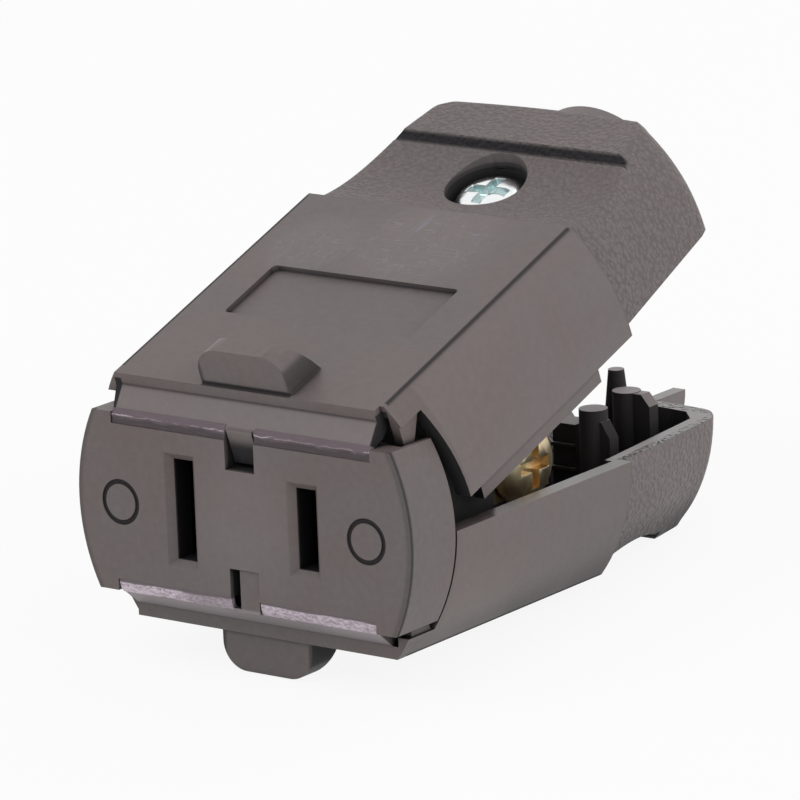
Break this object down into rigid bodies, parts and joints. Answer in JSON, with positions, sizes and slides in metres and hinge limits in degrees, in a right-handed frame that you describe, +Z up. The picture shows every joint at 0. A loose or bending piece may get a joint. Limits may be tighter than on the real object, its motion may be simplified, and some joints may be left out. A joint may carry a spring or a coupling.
{
  "type": "cord connector",
  "caption": "Hinged clamshell female cord connector with polarised blade slots, living hinges, thumb tabs, waisted grip and a clamping screw; one cover stands open.",
  "frame": {"origin": "centre of the mating face, on the parting plane of the covers", "axes": "+X to the right seen from the front, +Y from the face towards the cord, +Z up"},
  "size_m": [0.0344, 0.0536, 0.0397],
  "materials": {
    "housing": "dark brown moulded thermoplastic, smooth front and grained grip",
    "hinge_strip": "stress-whitened living hinge",
    "brass": "bright stamped brass",
    "nickel": "nickel-plated brass",
    "zinc": "bright zinc-plated steel"
  },
  "bodies": {
    "lower_cover": {"lower_cover": "housing", "lower_hinge_left": "hinge_strip", "lower_hinge_right": "hinge_strip"},
    "face": {"face_block": "housing", "upper_hinge_left": "hinge_strip", "upper_hinge_right": "hinge_strip", "hot_contact": "brass", "neutral_contact": "nickel"},
    "upper_cover": {"upper_cover": "housing"},
    "hot_screw": {"hot_terminal_screw": "brass"},
    "neutral_screw": {"neutral_terminal_screw": "nickel"},
    "clamp_screw": {"clamp_screw": "zinc"}
  },
  "joints": [
    {"name": "lower_hinge", "type": "hinge", "parent": "lower_cover", "child": "face", "pos_m": [0, 0.0007, -0.0072], "axis": [1, 0, 0], "range_deg": [0, 90], "deforming": ["lower_hinge_left", "lower_hinge_right"]},
    {"name": "upper_hinge", "type": "hinge", "parent": "face", "child": "upper_cover", "pos_m": [0, 0.0007, 0.0072], "axis": [1, 0, 0], "range_deg": [-19.6, 70.4], "deforming": ["upper_hinge_left", "upper_hinge_right"]},
    {"name": "hot_screw_turn", "type": "hinge", "parent": "face", "child": "hot_screw", "pos_m": [0.0088, 0.0262, 0], "axis": [1, 0, 0], "continuous": true},
    {"name": "neutral_screw_turn", "type": "hinge", "parent": "face", "child": "neutral_screw", "pos_m": [-0.0088, 0.0262, 0], "axis": [-1, 0, 0], "continuous": true},
    {"name": "clamp_screw_turn", "type": "hinge", "parent": "upper_cover", "child": "clamp_screw", "pos_m": [0, 0.03619, 0.01888], "axis": [0, -0.3355, 0.9421], "continuous": true}
  ]
}
